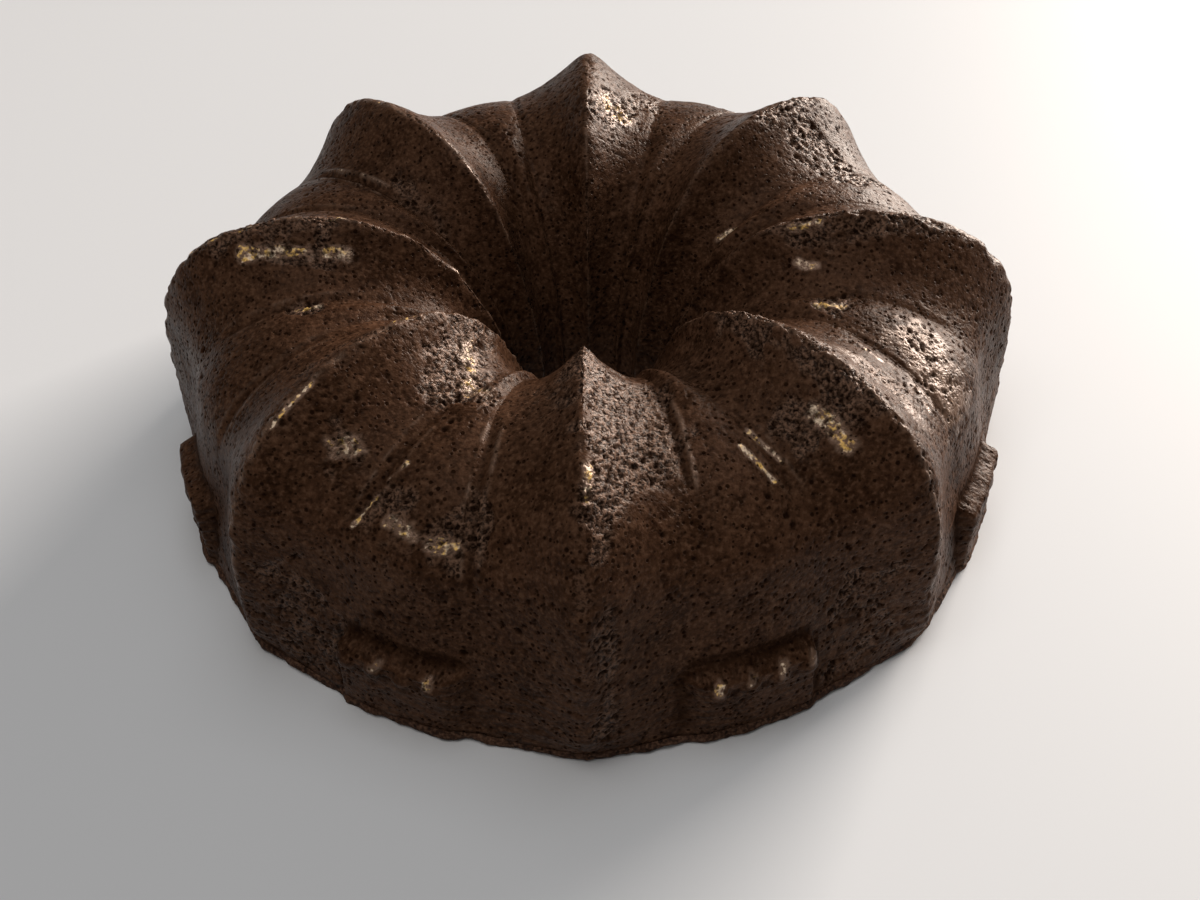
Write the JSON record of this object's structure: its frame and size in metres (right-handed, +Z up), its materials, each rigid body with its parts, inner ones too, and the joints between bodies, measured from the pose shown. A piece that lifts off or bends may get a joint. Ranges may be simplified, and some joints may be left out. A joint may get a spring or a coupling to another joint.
{
  "type": "bundt cake",
  "caption": "Whole ring cake from a fluted tin: pinched radial ridges, grooved valleys, beaded panels at the foot and a funnel-shaped centre hole.",
  "frame": {"origin": "middle of the underside, on the plane the cake stands on, on the axis of the centre hole", "axes": "+Z up along the axis of the centre hole, -Y through the ridge that faces the viewer, +X through the ridge on the right"},
  "size_m": [0.2508, 0.2508, 0.0789],
  "materials": {
    "outer_crust": "dark chocolate cake crust, satin with fine open pores",
    "crumb": "matte open chocolate crumb",
    "base_crust": "matte dry baked crust"
  },
  "bodies": {
    "root": {"outer_crust": "outer_crust", "crumb": "crumb", "base_crust": "base_crust"}
  },
  "joints": []
}
